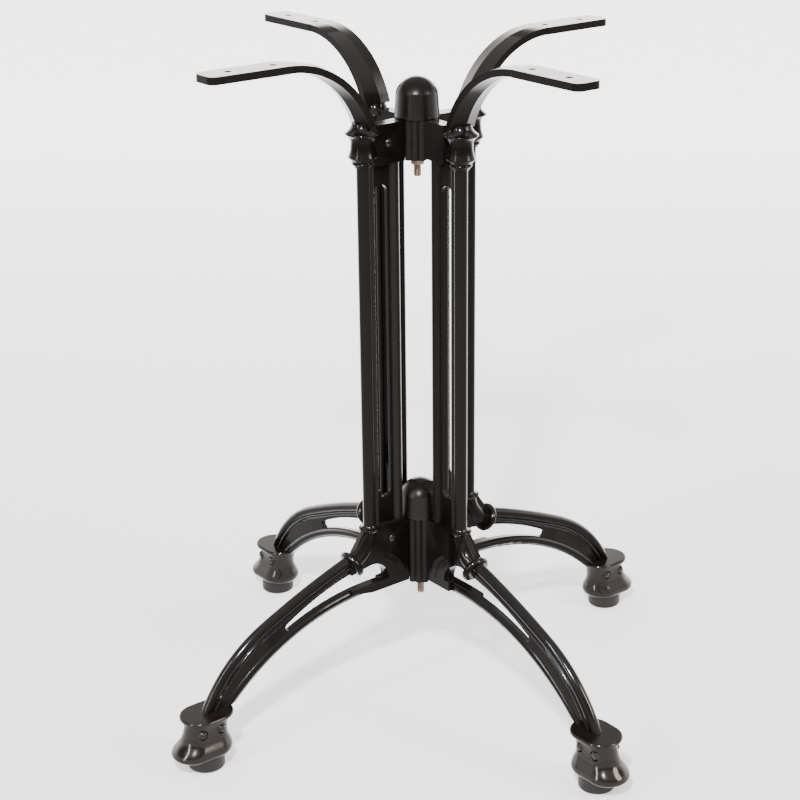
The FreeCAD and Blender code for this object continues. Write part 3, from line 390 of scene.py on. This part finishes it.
# Floor: a pale matt studio floor that runs past the edges of the picture. Behind the base it glows
# a little, like white paper lit from underneath, and washes the shadows out.
away_from_eye = (0.62, 0.78, 0.0)
floor_paint = bpy.data.materials.new("StudioFloor")
floor_paint.use_nodes = True
floor_tree = floor_paint.node_tree
floor_shader = floor_tree.nodes["Principled BSDF"]
floor_cloud = add_node(floor_tree, "ShaderNodeTexNoise", Scale=2.0)
floor_tone = add_node(floor_tree, "ShaderNodeMapRange", To_Min=0.88, To_Max=0.90)
join(floor_tree, floor_cloud, "Fac", floor_tone, "Value")
join(floor_tree, floor_tone, "Result", floor_shader, "Base Color")
floor_place = floor_tree.nodes.new("ShaderNodeTexCoord")
far_side = floor_tree.nodes.new("ShaderNodeVectorMath")
far_side.operation = "DOT_PRODUCT"
far_side.inputs[1].default_value = away_from_eye
join(floor_tree, floor_place, "Object", far_side, 0)
paper_glow = add_node(floor_tree, "ShaderNodeMapRange", From_Min=-0.7, From_Max=2.6, To_Min=0.0, To_Max=3.0)
join(floor_tree, far_side, "Value", paper_glow, "Value")
join(floor_tree, paper_glow, "Result", floor_shader, "Emission Strength")
floor_shader.inputs["Emission Color"].default_value = (1, 1, 1, 1)
floor_shader.inputs["Roughness"].default_value = 0.9
floor_shader.inputs["Specular IOR Level"].default_value = 0.1
below_glides = 0.0004
bpy.ops.mesh.primitive_plane_add(size=80, location=(0, 0, cad_low[2] - below_glides))
floor = bpy.context.object
floor.name = "StudioFloor"
floor.data.materials.append(floor_paint)
floor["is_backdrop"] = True

# Studio light: a bright wall behind the base that darkens overhead, dimmer walls round the camera, a wide
# soft sun from above, a tall strip at the left, a warm panel at the right and a small round lamp over the
# camera.
studio = bpy.data.worlds.new("Studio")
bpy.context.scene.world = studio
studio.use_nodes = True
walls = studio.node_tree
backdrop = walls.nodes["Background"]
direction = walls.nodes.new("ShaderNodeTexCoord")
behind = walls.nodes.new("ShaderNodeVectorMath")
behind.operation = "DOT_PRODUCT"
behind.inputs[1].default_value = away_from_eye
join(walls, direction, "Generated", behind, 0)
height = walls.nodes.new("ShaderNodeSeparateXYZ")
join(walls, direction, "Generated", height, "Vector")
round_wall = add_node(walls, "ShaderNodeMapRange", From_Min=-0.1, From_Max=0.75, To_Min=2.0, To_Max=5.0)
round_wall.interpolation_type = "SMOOTHSTEP"
join(walls, behind, "Value", round_wall, "Value")
overhead = add_node(walls, "ShaderNodeMapRange", From_Min=0.24, From_Max=0.52, To_Min=1.0, To_Max=0.08)
overhead.interpolation_type = "SMOOTHSTEP"
join(walls, height, "Z", overhead, "Value")
strength = walls.nodes.new("ShaderNodeMath")
strength.operation = "MULTIPLY"
join(walls, round_wall, "Result", strength, 0)
join(walls, overhead, "Result", strength, 1)
backdrop.inputs["Color"].default_value = (1.0, 0.945, 0.92, 1)
join(walls, strength, "Value", backdrop, "Strength")


def lamp(name, kind, at, aim, power, **shape):
    """A light at a point, turned to another."""
    data = bpy.data.lights.new(name, kind)
    data.energy = power
    for key, value in shape.items():
        setattr(data, key, value)
    made = bpy.data.objects.new(name, data)
    made.location = at
    made.rotation_euler = (Vector(aim) - Vector(at)).to_track_quat("-Z", "Y").to_euler()
    bpy.context.scene.collection.objects.link(made)


lamp("SoftSun", "SUN", at=(0, 0, 5), aim=(0.2, 0.3, 0), power=1.6, angle=math.radians(100))
lamp("LeftStrip", "AREA", at=(-2.2, -0.2, 1.3), aim=(0, 0, 0.4), power=34,
     shape="RECTANGLE", size=0.13, size_y=1.6)
lamp("RightPanel", "AREA", at=(0.9, -1.9, 1.35), aim=(-0.2, 0, 0.1), power=40,
     shape="RECTANGLE", size=0.75, size_y=0.9, color=(1.0, 0.85, 0.74))
lamp("RoundLamp", "AREA", at=(-1.3, -1.2, 1.9), aim=(0, 0, 0.4), power=90, shape="DISK", size=0.2)

# Camera: the photograph's own viewpoint, looking down by about 21 degrees.
# The frame is cropped a little off centre.
view_lens = bpy.data.cameras.new("PhotoView")
view_lens.sensor_width = 36
view_lens.lens = 82.34
view_lens.shift_x = -0.0484
view_lens.clip_end = 100
camera = bpy.data.objects.new("PhotoView", view_lens)
camera.location = (-1.13873, -1.43586, 1.04934)
camera.rotation_euler = Euler((1.20053, 0.00343, -0.68325))
bpy.context.scene.collection.objects.link(camera)
bpy.context.scene.camera = camera

low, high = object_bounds()
